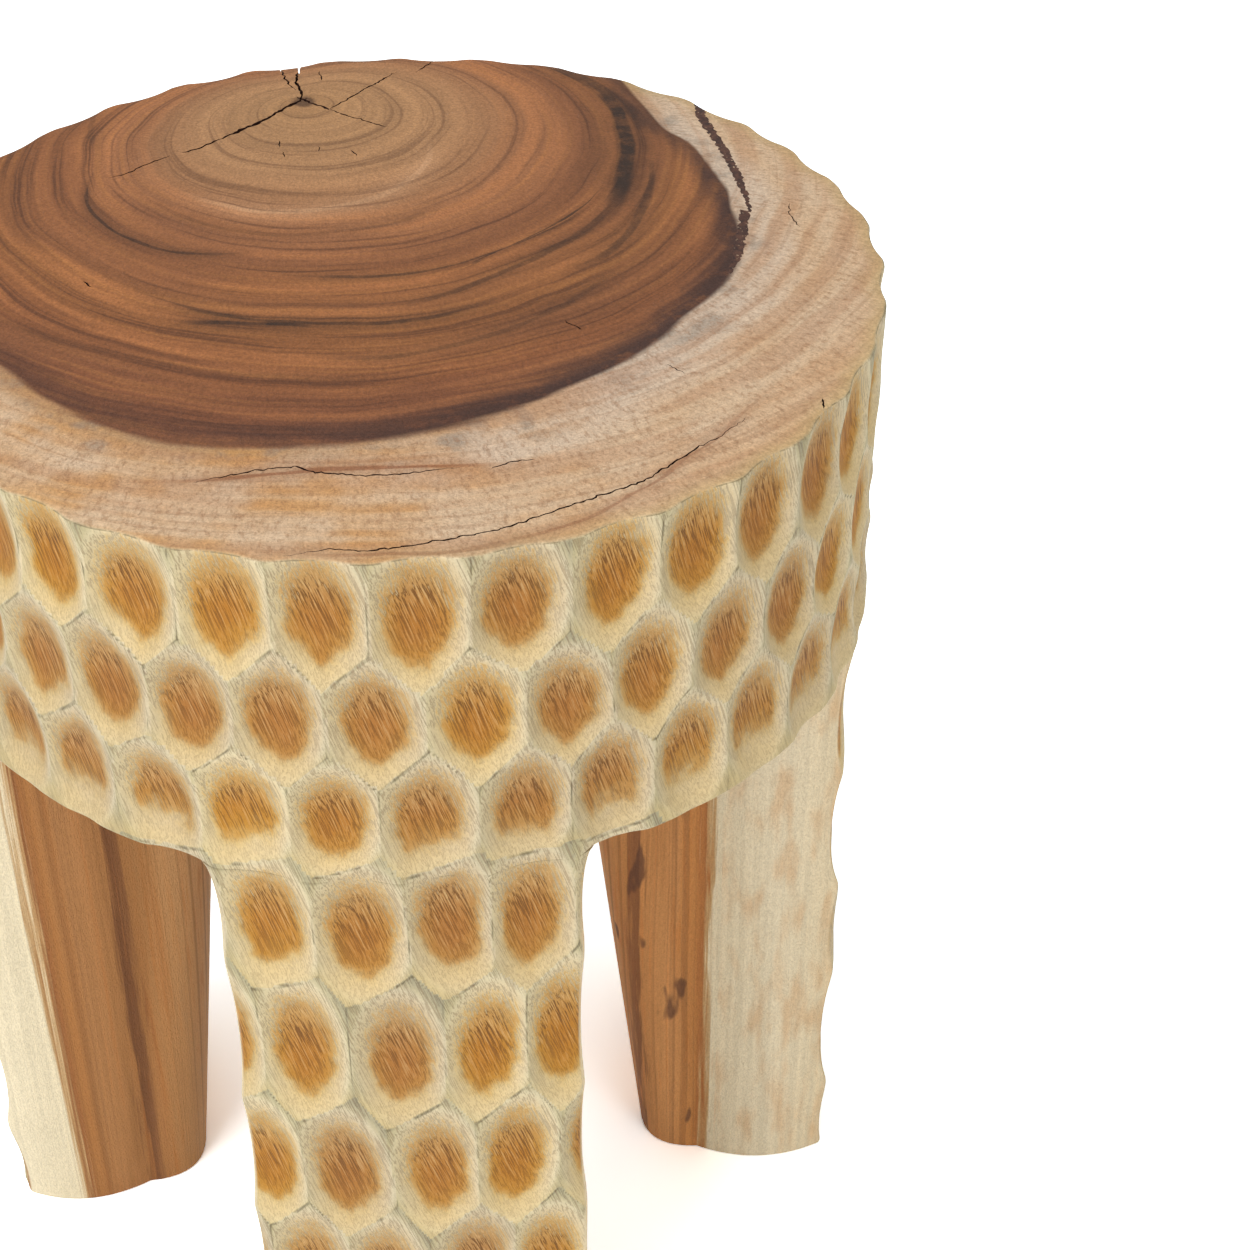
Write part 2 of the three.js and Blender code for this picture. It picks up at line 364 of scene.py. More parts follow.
def mesh_from(name, points, faces):
    """An object from points in millimetres from the log's axis."""
    mesh = bpy.data.meshes.new(name)
    mesh.from_pydata(((points + LOG_AXIS_MM) * MM).tolist(), [], faces)
    return mesh_object(name, mesh)


def fill_flat(loop, spacing):
    """Extra points and triangles that fill an outline seen from above. Points 0 to len(loop) - 1
    in the triangles are the outline's own."""
    middle = loop.mean(axis=0)
    offset = loop - middle
    turn = np.arctan2(offset[:, 1], offset[:, 0])
    order = np.argsort(turn)
    reach = np.hypot(offset[:, 0], offset[:, 1])
    span = np.arange(-reach.max(), reach.max(), spacing)
    grid = np.stack(np.meshgrid(span, span), axis=-1).reshape(-1, 2)
    edge = np.interp(np.arctan2(grid[:, 1], grid[:, 0]), turn[order], reach[order], period=2 * np.pi)
    grid = grid[np.hypot(grid[:, 0], grid[:, 1]) < edge - LATTICE_GAP * spacing] + middle
    points = np.vstack([loop, grid])
    count = len(loop)
    edges = [(index, (index + 1) % count) for index in range(count)]
    filled = delaunay_2d_cdt([Vector(point) for point in points], edges, [], 1, 1e-5)
    source = [sources[0] for sources in filled[3]]
    return grid, [[source[corner] for corner in face] for face in filled[2]]


def stack(name, loops, heights, lid_spacing):
    """A closed mesh through outlines (levels x points x 2) at heights (levels x points), from the
    lowest up, anticlockwise from above, in millimetres from the log's axis."""
    levels, count = heights.shape
    points = np.dstack([loops, heights]).reshape(-1, 3)
    level, step = np.meshgrid(np.arange(levels - 1) * count, np.arange(count), indexing="ij")
    after = (step + 1) % count
    side = np.stack([level + step, level + after, level + count + after, level + count + step], axis=-1)
    faces = side.reshape(-1, 4).tolist()
    for row, flip in ((0, True), (levels - 1, False)):
        extra, triangles = fill_flat(loops[row], lid_spacing)
        base = len(points)
        points = np.vstack([points, np.column_stack([extra, np.full(len(extra), heights[row].mean())])])
        for triangle in triangles:
            face = [row * count + c if c < count else base + c - count for c in triangle]
            faces.append(face[::-1] if flip else face)
    print(name, len(faces), "faces")
    return mesh_from(name, points, faces)


# %% [markdown]
# ## The seat
#
# The seat's side is the gouged surface between the sanded top and the sawn underside. Both edges
# are eased: the top's all round, and the lower one only over the notches, because over a leg the
# wood runs on without a joint.

# %% Seat
COLUMNS = 22 * HOLLOWS_AROUND
SIDE_ROWS = 88
RIM_EASE = 1.3
NOTCH_EASE = 2.2
LID_SPACING = 4.5
EASE_STEPS = 4
LEG_MARGIN = 1.5  # degrees past a leg over which the notch's eased edge comes in


def over_a_leg(azimuth):
    """1 where the seat stands on a leg and 0 over a notch, with a soft step between."""
    inside = [leg["half"] + LEG_MARGIN - np.abs(turn_between(azimuth, leg["azimuth"])) for leg in LEGS]
    return np.clip(np.max(inside, axis=0) / LEG_MARGIN, 0, 1)


quarter = np.linspace(0, np.pi / 2, EASE_STEPS)
side_heights = np.linspace(SEAT_UNDERSIDE + NOTCH_EASE, STOOL_HEIGHT - RIM_EASE, SIDE_ROWS)
row_heights = np.concatenate([
    SEAT_UNDERSIDE + NOTCH_EASE * (1 - np.cos(quarter[:-1])),
    side_heights,
    STOOL_HEIGHT - RIM_EASE * (1 - np.sin(quarter[1:])),
])
rim_inset = np.concatenate([np.zeros(EASE_STEPS - 1 + SIDE_ROWS), RIM_EASE * (1 - np.cos(quarter[1:]))])
notch_inset = np.zeros(len(row_heights))
notch_inset[:EASE_STEPS - 1] = NOTCH_EASE * (1 - np.sin(quarter[:-1]))

azimuths, heights = np.meshgrid(np.arange(COLUMNS) * 360 / COLUMNS, row_heights)
inset = rim_inset[:, None] + notch_inset[:, None] * (1 - over_a_leg(azimuths))
radii = gouged_radius(azimuths, heights) - inset
seat = stack("carved_seat", polar(radii, azimuths), heights, LID_SPACING)

# %% [markdown]
# ## The legs
#
# A leg is a thick slice of the log's outer part. Its outer face is the gouged surface, its two
# side faces run towards the log's axis and are slightly round, and its inner face leans out
# towards the floor with big soft corners. The rear legs' inner faces run front to back. The side
# faces curve out just under the seat, where the saw turned into the notch. The sharp arrises were
# eased by a millimetre or two.

# %% Legs
FACE_BOW = 7  # how far a side face bulges at its middle
FACE_BOW_LIMIT = 0.12  # of the face's length
INNER_CORNER = 26  # how much of each face a rounded corner takes up
INNER_CORNER_LIMIT = 0.45  # of a face's length
FLARE_REACH = 4.5  # how far the side faces curve out under the seat
FLARE_HEIGHT = 36
ARRIS_EASE = 3.0
FOOT_EASE = 0.8
LEG_LEVELS = 240
OUTER_STEPS = 132
CORNER_STEPS = 5
FACE_STEPS = 34
NOSE_STEPS = 12
ARRIS_ROUNDS = 3  # of moving an arris out or in, until it lies on the gouged surface


def bezier(start, control, end, shares):
    """Points on a curve: start, control and end are levels x 2, and the result levels x shares x 2."""
    t = np.asarray(shares)[None, :, None]
    return (1 - t) ** 2 * start[:, None] + 2 * t * (1 - t) * control[:, None] + t * t * end[:, None]


def half_section(leg, z, side):
    """One side of a leg's sections, from its arris to the middle of its inner face, and the arris's
    angle. side is 1 for the anticlockwise side of the leg and -1 for the other."""
    half = math.radians(leg["half"])
    turn = side * math.radians(leg["inner_turn"])
    inner = leg["inner_foot"] + (leg["inner_top"] - leg["inner_foot"]) * z / SEAT_UNDERSIDE
    inner = inner * math.cos(turn)
    along = np.array([math.cos(half), math.sin(half)])
    outward = np.array([-math.sin(half), math.cos(half)])
    up_flare = np.clip(1 - (SEAT_UNDERSIDE - z) / FLARE_HEIGHT, 0, 1)
    flare = (FLARE_REACH * (1 - np.sqrt(1 - up_flare ** 2)))[:, None] * outward
    reach = np.full(z.shape, float(SEAT_RADIUS))
    for _ in range(ARRIS_ROUNDS):
        arris = reach[:, None] * along + flare
        angle = np.degrees(np.arctan2(arris[:, 1], arris[:, 0]))
        surface = gouged_radius(leg["azimuth"] + side * angle, z)
        reach += surface - np.hypot(arris[:, 0], arris[:, 1])
    corner = (inner / math.cos(half - turn))[:, None] * along + flare
    other_corner = ((inner / math.cos(half + turn))[:, None] * along + flare) * [1, -1]
    length = np.hypot(*(arris - corner).T)
    inner_length = np.hypot(*(other_corner - corner).T)
    cut = np.minimum(INNER_CORNER, INNER_CORNER_LIMIT * np.minimum(length, inner_length))
    side_start = corner + (arris - corner) * (cut / length)[:, None]
    face_start = corner + (other_corner - corner) * (cut / inner_length)[:, None]
    bow = np.minimum(FACE_BOW, FACE_BOW_LIMIT * length)
    bowed = (arris + side_start) / 2 + 2 * bow[:, None] * outward
    first = ARRIS_EASE / length.mean()
    face = bezier(arris, bowed, side_start, np.linspace(first, 1, FACE_STEPS))
    nose = bezier(side_start, corner, face_start, np.linspace(0, 1, NOSE_STEPS)[1:])
    half_line = np.concatenate([face, nose], axis=1)
    return half_line, angle, arris


def leg_piece(leg):
    """A leg as a stack of outlines, made as if it stood at azimuth 0 and then turned to its place."""
    eased = FOOT_EASE * (1 - np.sin(quarter[:-1]))
    above_foot = np.linspace(FOOT_EASE, SEAT_UNDERSIDE, LEG_LEVELS)
    z = np.concatenate([FOOT_EASE * (1 - np.cos(quarter[:-1])), above_foot])
    upper, upper_angle, upper_arris = half_section(leg, z, 1)
    lower, lower_angle, lower_arris = half_section(leg, z, -1)
    mirror = np.array([1, -1])
    lower, lower_arris = lower * mirror, lower_arris * mirror
    margin = math.degrees(ARRIS_EASE / SEAT_RADIUS)
    share = np.linspace(0, 1, OUTER_STEPS)
    angles = (margin - lower_angle)[:, None] * (1 - share) + (upper_angle - margin)[:, None] * share
    levels = np.broadcast_to(z[:, None], angles.shape)
    radii = gouged_radius(leg["azimuth"] + angles, levels)
    outer = polar(radii, angles)
    between = np.linspace(0, 1, CORNER_STEPS + 2)[1:-1]
    upper_corner = bezier(outer[:, -1], upper_arris, upper[:, 0], between)
    lower_corner = bezier(lower[:, 0], lower_arris, outer[:, 0], between)
    loops = np.concatenate([outer, upper_corner, upper, lower[:, ::-1], lower_corner], axis=1)

    ahead = np.roll(loops, -1, axis=1) - np.roll(loops, 1, axis=1)
    inward = np.dstack([-ahead[..., 1], ahead[..., 0]]) / np.linalg.norm(ahead, axis=2)[..., None]
    inset = np.zeros(len(z))
    inset[:len(eased)] = eased
    loops = loops + inward * inset[:, None, None]

    turn = math.radians(leg["azimuth"])
    spin = np.array([[math.cos(turn), math.sin(turn)], [-math.sin(turn), math.cos(turn)]])
    heights = np.broadcast_to(z[:, None], loops.shape[:2])
    return stack("carved_" + leg["name"], loops @ spin, heights, LID_SPACING)


leg_pieces = [leg_piece(leg) for leg in LEGS]

# %% [markdown]
# ## The shake and its filler
#
# A ring shake is a crack that follows a growth ring. This one was packed with a dark filler. The
# strip is cut out of the seat and the filler is what was cut out, so they fit each other. Its
# edges are ragged, because the wood broke along its fibres.

# %% Cutting one mesh with another
STRIP_ABOVE = 2.0  # mm by which a cutting strip stands above the top


def combine(piece, tool, operation):
    """Cut a piece with a closed tool mesh (DIFFERENCE), or keep what lies in both (INTERSECT)."""
    cut = piece.modifiers.new("cut", "BOOLEAN")
    cut.operation = operation
    cut.solver = "MANIFOLD"
    cut.object = tool
    shaped = bpy.data.meshes.new_from_object(piece.evaluated_get(bpy.context.evaluated_depsgraph_get()))
    piece.modifiers.remove(cut)
    piece.data = shaped


def ragged_strip(name, line, widths, depth, bottom_share):
    """A closed strip along a line on the seat's top, wider at the top than at its bottom."""
    line = np.asarray(line, float)
    along = np.gradient(line, axis=0)
    along /= np.linalg.norm(along, axis=1)[:, None]
    across = np.column_stack([-along[:, 1], along[:, 0]]) * np.asarray(widths)[:, None] / 2
    rings = []
    for share, z in ((1, STOOL_HEIGHT + STRIP_ABOVE), (bottom_share, STOOL_HEIGHT - depth)):
        for hand in (1, -1) if share == 1 else (-1, 1):
            rings.append(np.column_stack([line + hand * share * across, np.full(len(line), z)]))
    points = np.stack(rings, axis=1).reshape(-1, 3)
    last = 4 * (len(line) - 1)
    faces = [[3, 2, 1, 0], [last, last + 1, last + 2, last + 3]]
    for start in range(0, last, 4):
        for side in range(4):
            after = (side + 1) % 4
            faces.append([start + side, start + after, start + 4 + after, start + 4 + side])
    return mesh_from(name, points, faces)


def resample(points, spacing):
    """Points at an even spacing along a line through the given ones."""
    points = np.asarray(points, float)
    steps = np.hypot(*np.diff(points, axis=0).T)
    travelled = np.concatenate([[0], np.cumsum(steps)])
    places = np.linspace(0, travelled[-1], max(3, round(travelled[-1] / spacing) + 1))
    return np.column_stack([np.interp(places, travelled, points[:, axis]) for axis in (0, 1)])


# %% Shake strips
SHAKE_WIDTH = 3.0
SHAKE_DEPTH = 14
SHAKE_BOTTOM = 0.6  # width of its bottom as a share of its top's
SHAKE_STEP = 1.1  # mm between the points of its ragged edges
SHAKE_RAGGED = 0.22  # mm
SHAKES = {  # drawn on the top, in millimetres from the log's axis
    "shake_filler_rear": [
        (122, 127), (120.5, 107), (123, 93), (125.7, 77), (126.5, 67), (128, 53), (128.6, 40), (128.2, 30),
    ],
    "shake_filler_front": [(126.4, 31), (125.4, 24), (123.2, 15), (119.6, -0.5), (115, -12.5)],
}

fillers = []
for name, drawn in SHAKES.items():
    line = resample(drawn, SHAKE_STEP)
    share = np.linspace(0, 1, len(line))
    narrowed = 0.45 + 0.75 * np.minimum(1, 3 * (1 - share))  # over its last third
    widths = SHAKE_WIDTH * narrowed * random.uniform(0.7, 1.25, len(line))
    line = line + random.normal(0, SHAKE_RAGGED, line.shape)
    strip = ragged_strip(name + "_strip", line, widths, SHAKE_DEPTH, SHAKE_BOTTOM)
    filler = mesh_object("packed_" + name, strip.data.copy())
    combine(filler, seat, "INTERSECT")
    combine(seat, strip, "DIFFERENCE")
    bpy.data.objects.remove(strip)
    fillers.append(filler)
    print(filler.name, len(filler.data.polygons), "faces")

# %% [markdown]
# ## Checks and cracks
#
# Drying opened the end grain. Checks run out from the pith, and finer cracks follow the rings in
# the sapwood. They are real slits in the mesh, and their inner faces are painted dark: partly painted
# shade, because they are deep, and partly old dust.

# %% Slits in the top
CHECK_BOTTOM = 0.15  # width of a slit's bottom as a share of its top's
CHECK_STEP = 1.3  # mm between the points of its ragged edges
CHECK_RAGGED = 0.25  # mm
CHECKS = [  # width in millimetres, depth, and a line on the top
    (2.0, 9, [(-27, 136), (-36, 127), (-43, 118), (-51, 111), (-60, 103)]),
    (1.2, 7, [(-59, 104), (-68, 96), (-73, 94)]),
    (0.9, 6, [(-77, 92), (-85, 86), (-92, 79), (-98, 76)]),
    (1.5, 8, [(-29, 133), (-29, 141), (-31, 150), (-29, 172)]),
    (0.9, 6, [(-31, 143), (-34, 149), (-37, 162), (-41, 176)]),
    (1.6, 8, [(-31, 137), (-24, 130), (-18, 125)]),
    (0.8, 6, [(-19, 126), (-13, 120), (-6, 115), (3, 108)]),
    (0.9, 3, [(-22, 159), (-21, 151)]),
    (0.8, 3, [(-37, 101), (-37, 95)]),
    (0.8, 3, [(-36, 92), (-35, 87)]),
    (0.7, 3, [(-23, 95), (-23, 91)]),
    (0.7, 3, [(-11, 91), (-9, 86)]),
    (0.9, 3, [(-102, 2), (-99, -2)]),
    (0.9, 3, [(57, -39), (62, -45)]),
    (0.7, 3, [(87, -69), (92, -75)]),
    (0.6, 3, [(143, 35), (142, 28), (144, 17)]),
    (1.0, 3, [(133, -94), (133, -100)]),
    (1.0, 5, [(-19, 125), (-12, 133), (-2, 145), (8, 156)]),
    (1.0, 5, [(15, 155), (21, 162), (29, 176)]),
    (0.9, 4, [(-62, -123), (-43, -118), (-31, -117), (-25, -121), (-10, -124), (1, -124), (18, -122)]),
    (0.7, 4, [(27, -124), (33, -121), (41, -120)]),
    (0.9, 4, [(-35, -163), (-22, -161), (-9, -163), (4, -161), (23, -157), (32, -154), (50, -145),
              (57, -142), (72, -135), (90, -119), (98, -113), (108, -103)]),
]

for count, (width, depth, drawn) in enumerate(CHECKS):
    line = resample(drawn, CHECK_STEP)
    share = np.linspace(0, 1, len(line))
    taper = np.minimum(1, 6 * np.minimum(share, 1 - share)) * 0.85 + 0.15  # over a sixth at each end
    widths = width * taper * random.uniform(0.55, 1.25, len(line))
    line = line + random.normal(0, CHECK_RAGGED, line.shape)
    slit = ragged_strip(f"slit_{count}", line, widths, depth, CHECK_BOTTOM)
    combine(seat, slit, "DIFFERENCE")
    bpy.data.objects.remove(slit)
print("seat with its slits:", len(seat.data.polygons), "faces")

# %% [markdown]
# ## What the material needs to know
#
# The wood's rings and fibres run through the whole log, so the material works from the place in
# the log. It cannot know where the hollows are, so each point of a mesh carries that: where it is
# in its hollow and how far from the middle, the hollow's tone, its lead (how much deeper it cuts
# than the next one), whether the point lies on the gouged side at all, whether it is end grain,
# and how near the rim it is. The distance from the middle, called bowl, is raised towards 1 near a
# ridge and near the seat's lower edge, where the wood is pale. Faces inside a slit are marked as a
# whole.

# %% Marks on the points and faces of a mesh
SKIN = (0.2, 1.0)  # mm under the gouged surface, between which the side's colouring ends
RIM_BAND = (0.8, 7.0)  # mm from the rim, between which its stain ends
FACING = (0.6, 0.9)  # upright part of a normal, between which side grain turns into end grain
PATCH_DROP = 0.18  # how far below a hollow's middle its golden patch sits, as a share of its half height
RIDGE_FADE = 0.075  # what bowl loses for each millimetre of lead, from 1 on a ridge
SKIRT_FADE = 0.022  # the same for each millimetre above the seat's lower edge
FLUSH = 0.05  # mm: a point this little under the top's height lies on the top
SLACK = 0.1  # mm
SLIT_INSET = 0.4  # mm further in than the rim's eased edge, where a face can lie in a slit
FAR_ABOVE = 99  # mm, more than any height above the edge that matters


def smooth_step(value, low, high):
    share = np.clip((value - low) / (high - low), 0, 1)
    return share * share * (3 - 2 * share)


def write_marks(mesh, marks, domain):
    for name, values in marks.items():
        layer = mesh.attributes.new(name, "FLOAT", domain)
        layer.data.foreach_set("value", np.asarray(values, np.float32))


def vectors_of(items, name):
    """A vector property of all vertices or polygons as an array."""
    values = np.empty(3 * len(items), np.float32)
    items.foreach_get(name, values)
    return values.reshape(-1, 3).astype(float)


def mark(piece):
    """Work out and write the marks of a piece's points and faces."""
    mesh = piece.data
    x, y, z = (vectors_of(mesh.vertices, "co") / MM - LOG_AXIS_MM).T
    azimuth = np.degrees(np.arctan2(y, x))
    depth, across, rise, tone, lead = gouge(azimuth, z)
    under = log_radius(azimuth, z) - depth - np.hypot(x, y)
    bowl = np.hypot(across, rise)
    on_top = (z > STOOL_HEIGHT - FLUSH) & (under > RIM_EASE - SLACK)
    facing_up = np.abs(vectors_of(mesh.vertices, "normal")[:, 2])
    above_edge = np.where(z > SEAT_UNDERSIDE - SLACK, z - SEAT_UNDERSIDE, FAR_ABOVE)
    above_edge += FAR_ABOVE * over_a_leg(azimuth)
    patch_bowl = np.hypot(across, rise + PATCH_DROP * (1 - np.clip(bowl, 0, 1)))
    write_marks(mesh, {
        "gouged": 1 - smooth_step(under, *SKIN),
        "end_grain": np.where(on_top, 1, smooth_step(facing_up, *FACING)),
        "bowl": np.max([patch_bowl, 1 - RIDGE_FADE * lead, 1 - SKIRT_FADE * above_edge], axis=0),
        "rim": 1 - smooth_step(under, *RIM_BAND),
        "across": across,
        "rise": rise,
        "tone": tone,
        "lead": lead,
    }, "POINT")
    x, y, z = (vectors_of(mesh.polygons, "center") / MM - LOG_AXIS_MM).T
    sunk = (z < STOOL_HEIGHT - FLUSH) & (z > STOOL_HEIGHT - 2 * SHAKE_DEPTH)
    inside = np.hypot(x, y) < gouged_radius(np.degrees(np.arctan2(y, x)), z) - RIM_EASE - SLIT_INSET
    write_marks(mesh, {"slit": sunk & inside}, "FACE")


EDGE_ANGLE = math.radians(50)
for piece in [seat, *leg_pieces, *fillers]:
    piece.data.shade_smooth()
    piece.data.set_sharp_from_angle(angle=EDGE_ANGLE)
for piece in [seat, *leg_pieces]:
    mark(piece)
print("marks:", [layer.name for layer in seat.data.attributes])

# %% [markdown]
# ## Wood: tropical hardwood with dark heartwood, sanded end grain, gouged and rubbed side
#
# Sapwood is pale and pinkish on the end grain and cream along the grain. Heartwood is golden brown
# at the middle, redder outwards, and almost black in a band at its edge. Two numbers say where in
# the tree a point is. Its ring follows the growth rings, which are wide in front of the pith and
# narrow behind it, because the tree grew faster to one side. Its edge number is 1 along the
# heartwood's uneven edge, which crosses the rings here and there. All colours follow from the two.

# %% Ring and edge numbers
PITH = (-28, 134)
RING_REACH = 241  # mm from the pith to ring 1, where the rings are widest
RING_LOPSIDED = 0.36
WIDEST = math.radians(-72)
WANDER = 9  # mm between the two ends of the noise, which bends the rings by a millimetre or two
WANDER_SIZES = (60, 60, 400)  # mm over which they bend, across the log and along it
HEART_OUTLINE = [  # on the top, in millimetres from the log's axis; the part behind the rim is a guess
    (-158, 0), (-124, -52), (-108, -72), (-85, -91), (-55, -104), (-26, -107), (12, -104), (37, -95),
    (56, -81), (78, -62), (98, -40), (113, -18), (121, 0), (124, 20), (123, 42), (119, 66), (112, 86),
    (104, 102), (97, 128), (93, 150), (91, 180), (86, 218), (60, 250), (-28, 276), (-110, 250),
    (-165, 205), (-201, 158), (-204, 120), (-186, 70),
]
LONGEST = 300  # mm, the scale of the outline's curve

# Bare sanded wood has little shine between its fibres
wood, tree, shader = new_material("hardwood_gouged_and_sanded", roughness=0.65, specular=0.2)

in_log = add(tree, "ShaderNodeMapping", {
    "Vector": add(tree, "ShaderNodeTexCoord", output="Object"),
    "Location": (-LOG_AXIS_MM[0], -LOG_AXIS_MM[1], 0),
    "Scale": (1 / MM, 1 / MM, 1 / MM),
})
stretched = add(tree, "ShaderNodeMapping", {"Vector": in_log, "Scale": [1 / size for size in WANDER_SIZES]})
wander = add(tree, "ShaderNodeTexNoise", {"Vector": stretched, "Scale": 1.0, "Detail": 2.0}, output="Color")
wandered = add(tree, "ShaderNodeVectorMath", {
    0: add(tree, "ShaderNodeVectorMath", {0: wander, 1: (0.5, 0.5, 0.5)}, operation="SUBTRACT"),
    1: (WANDER, WANDER, 0),
    2: in_log,
}, operation="MULTIPLY_ADD")
from_pith = add(tree, "ShaderNodeVectorMath", {
    0: add(tree, "ShaderNodeVectorMath", {0: wandered, 1: (*PITH, 0)}, operation="SUBTRACT"),
    1: (1, 1, 0),
}, operation="MULTIPLY")
pith_x, pith_y = (add(tree, "ShaderNodeSeparateXYZ", {0: from_pith}, output=axis) for axis in "XY")
direction = add(tree, "ShaderNodeMath", {0: pith_y, 1: pith_x}, operation="ARCTAN2")
degrees = add(tree, "ShaderNodeMath", {0: direction, 1: 180 / math.pi}, operation="MULTIPLY")
pith_distance = add(tree, "ShaderNodeVectorMath", {0: from_pith}, operation="LENGTH", output="Value")

off_widest = add(tree, "ShaderNodeMath", {0: direction, 1: WIDEST}, operation="SUBTRACT")
ring_reach = add(tree, "ShaderNodeMath", {
    0: add(tree, "ShaderNodeMath", {0: off_widest}, operation="COSINE"),
    1: RING_REACH * RING_LOPSIDED, 2: RING_REACH * (1 - RING_LOPSIDED),
}, operation="MULTIPLY_ADD")
ring = add(tree, "ShaderNodeMath", {0: pith_distance, 1: ring_reach}, operation="DIVIDE")

outline = np.array(HEART_OUTLINE, float) - PITH
outline_share = (np.arctan2(outline[:, 1], outline[:, 0]) + np.pi) / (2 * np.pi)
outline_reach = np.hypot(outline[:, 0], outline[:, 1]) / LONGEST
order = np.argsort(outline_share)
seam_reach = np.interp(1.0, outline_share[order], outline_reach[order], period=1.0)
knots = [(0.0, seam_reach), (1.0, seam_reach), *zip(outline_share[order], outline_reach[order])]
direction_share = add(tree, "ShaderNodeMapRange", {
    "Value": direction, "From Min": -math.pi, "From Max": math.pi,
})
edge_reach = add(tree, "ShaderNodeMath", {
    0: add(tree, "ShaderNodeFloatCurve", {"Value": direction_share}, knots=knots), 1: LONGEST,
}, operation="MULTIPLY")
edge = add(tree, "ShaderNodeMath", {0: pith_distance, 1: edge_reach}, operation="DIVIDE")
print("edge number 1 is", round(LONGEST * seam_reach), "mm left of the pith")

# %% What a point's marks say
MARKS = ("bowl", "across", "rise", "tone", "lead", "gouged", "end_grain", "rim", "slit")
bowl, across, rise, tone, lead, gouged, end_grain, rim, slit = (
    add(tree, "ShaderNodeAttribute", output="Fac", attribute_name=name) for name in MARKS
)
print("the wood reads", len(MARKS), "marks:", ", ".join(MARKS))

# %% [markdown]
# The wood's colour is built up in layers. Each layer is a colour with one or more shares that say
# where it lies and how strongly. A share is mostly a soft step: it follows a mark, a noise, a ring
# or a direction, and goes from one strength to another between two values of it. The shares of a
# layer are multiplied, so that it shows only where all of them are high.

# %% Shares and layers
LOW, HIGH = 0.3, 0.7  # nearly all of a noise lies between these


def product(*shares):
    """Shares multiplied together. A share is an output, a number, or a soft step: the output that it
    follows, that output's value at the step's start and end, and the share there if not 0 and 1."""
    result = None
    for share in shares:
        if isinstance(share, tuple):
            value, start, end, first, last = (*share, 0, 1)[:5]
            share = add(tree, "ShaderNodeMapRange", {
                "Value": value, "From Min": start, "From Max": end, "To Min": first, "To Max": last,
            }, interpolation_type="SMOOTHSTEP")
        if result is not None:
            share = add(tree, "ShaderNodeMath", {0: result, 1: share}, operation="MULTIPLY")
        result = share
    return result


def paint(colour, *layers):
    """Lay colours over a colour, one after another. A layer is a colour followed by its shares. Inputs
    6 and 7 of a Mix node, and output 2, are its colours."""
    for over, *shares in layers:
        colour = add(tree, "ShaderNodeMix", {
            0: product(*shares), 6: colour, 7: over,
        }, output=2, data_type="RGBA")
    return colour


def shift(value, noise, amount):
    """A value moved up or down by noise, by up to about half the amount."""
    centred = add(tree, "ShaderNodeMath", {0: noise, 1: 0.5}, operation="SUBTRACT")
    return add(tree, "ShaderNodeMath", {0: centred, 1: amount, 2: value}, operation="MULTIPLY_ADD")


print("most of a noise lies between", LOW, "and", HIGH)

# %% Noise along the rings
def ring_noise(rings, length, detail):
    """Noise that follows the rings: so many wavelengths from the pith to ring 1, and lasting so many
    millimetres along a ring."""
    place = add(tree, "ShaderNodeCombineXYZ", {
        "X": product(ring, rings), "Y": product(pith_x, 1 / length), "Z": product(pith_y, 1 / length),
    })
    return add(tree, "ShaderNodeTexNoise", {"Vector": place, "Scale": 1.0, "Detail": detail}, output="Fac")


FINE_RINGS = 100  # from the pith to ring 1, of the finest noise
broad = ring_noise(10, 160, 1.0)
middling = ring_noise(30, 130, 2.0)
fine = ring_noise(FINE_RINGS, 90, 2.0)
wavy_edge = shift(edge, middling, 0.03)
heart = product((wavy_edge, 0.99, 1.006, 1, 0))
print("the finest rings are", round(RING_REACH / FINE_RINGS, 1), "mm apart where they are widest")

# %% Fibres, pores and other noises
# Pores are fine upright tubes: specks on end grain and streaks on the gouged side, where the grain
# twists round the log. They are drawn about twice as coarse as real ones, so that they show.
TWIST = math.radians(18) / SEAT_RADIUS  # turn for each millimetre of height
STROKES_AROUND = 150  # for each radian round the pith
STROKE_LENGTH = 3.5  # mm along a radius
FLECK_SIZES = (5, 1.4, 5)  # mm: they run from left to right
FLECK_TURN = math.radians(-28)  # of the whole noise, which only says where they fall

turned = add(tree, "ShaderNodeVectorRotate", {
    "Vector": in_log,
    "Angle": product(add(tree, "ShaderNodeSeparateXYZ", {0: in_log}, output="Z"), TWIST),
}, rotation_type="Z_AXIS")
radial = add(tree, "ShaderNodeVectorMath", {
    0: add(tree, "ShaderNodeVectorMath", {0: from_pith}, operation="NORMALIZE"),
    1: [STROKES_AROUND] * 3,
    2: add(tree, "ShaderNodeCombineXYZ", {"Z": product(pith_distance, 1 / STROKE_LENGTH)}),
}, operation="MULTIPLY_ADD")
fleck_place = add(tree, "ShaderNodeMapping", {
    "Vector": in_log, "Rotation": (0, 0, FLECK_TURN), "Scale": [1 / size for size in FLECK_SIZES],
})
NOISES = [  # where it is looked up, its size there along x, y and z, its detail and its roughness
    (in_log, (9, 9, 200), 4.0, 0.7),  # blotches
    (turned, (0.5, 0.5, 13), 2.0, 0.55),  # pore_noise
    (in_log, (0.8, 0.8, 0.8), 2.0, 0.5),  # specks
    (wandered, (2.6, 2.6, 240), 4.0, 0.65),  # streaks
    (radial, (1, 1, 1), 3.0, 0.7),  # strokes
    (fleck_place, (1, 1, 1), 3.0, 0.7),  # flecks
    (in_log, (26, 26, 26), 3.0, 0.5),  # cloud
    (in_log, (14, 14, 14), 4.0, 0.5),  # smoke
    (in_log, (9, 9, 30), 2.0, 0.5),  # knotty
    (in_log, (7, 7, 7), 3.0, 0.5),  # smudge
    (in_log, (9, 9, 9), 2.0, 0.5),  # crease_run
]
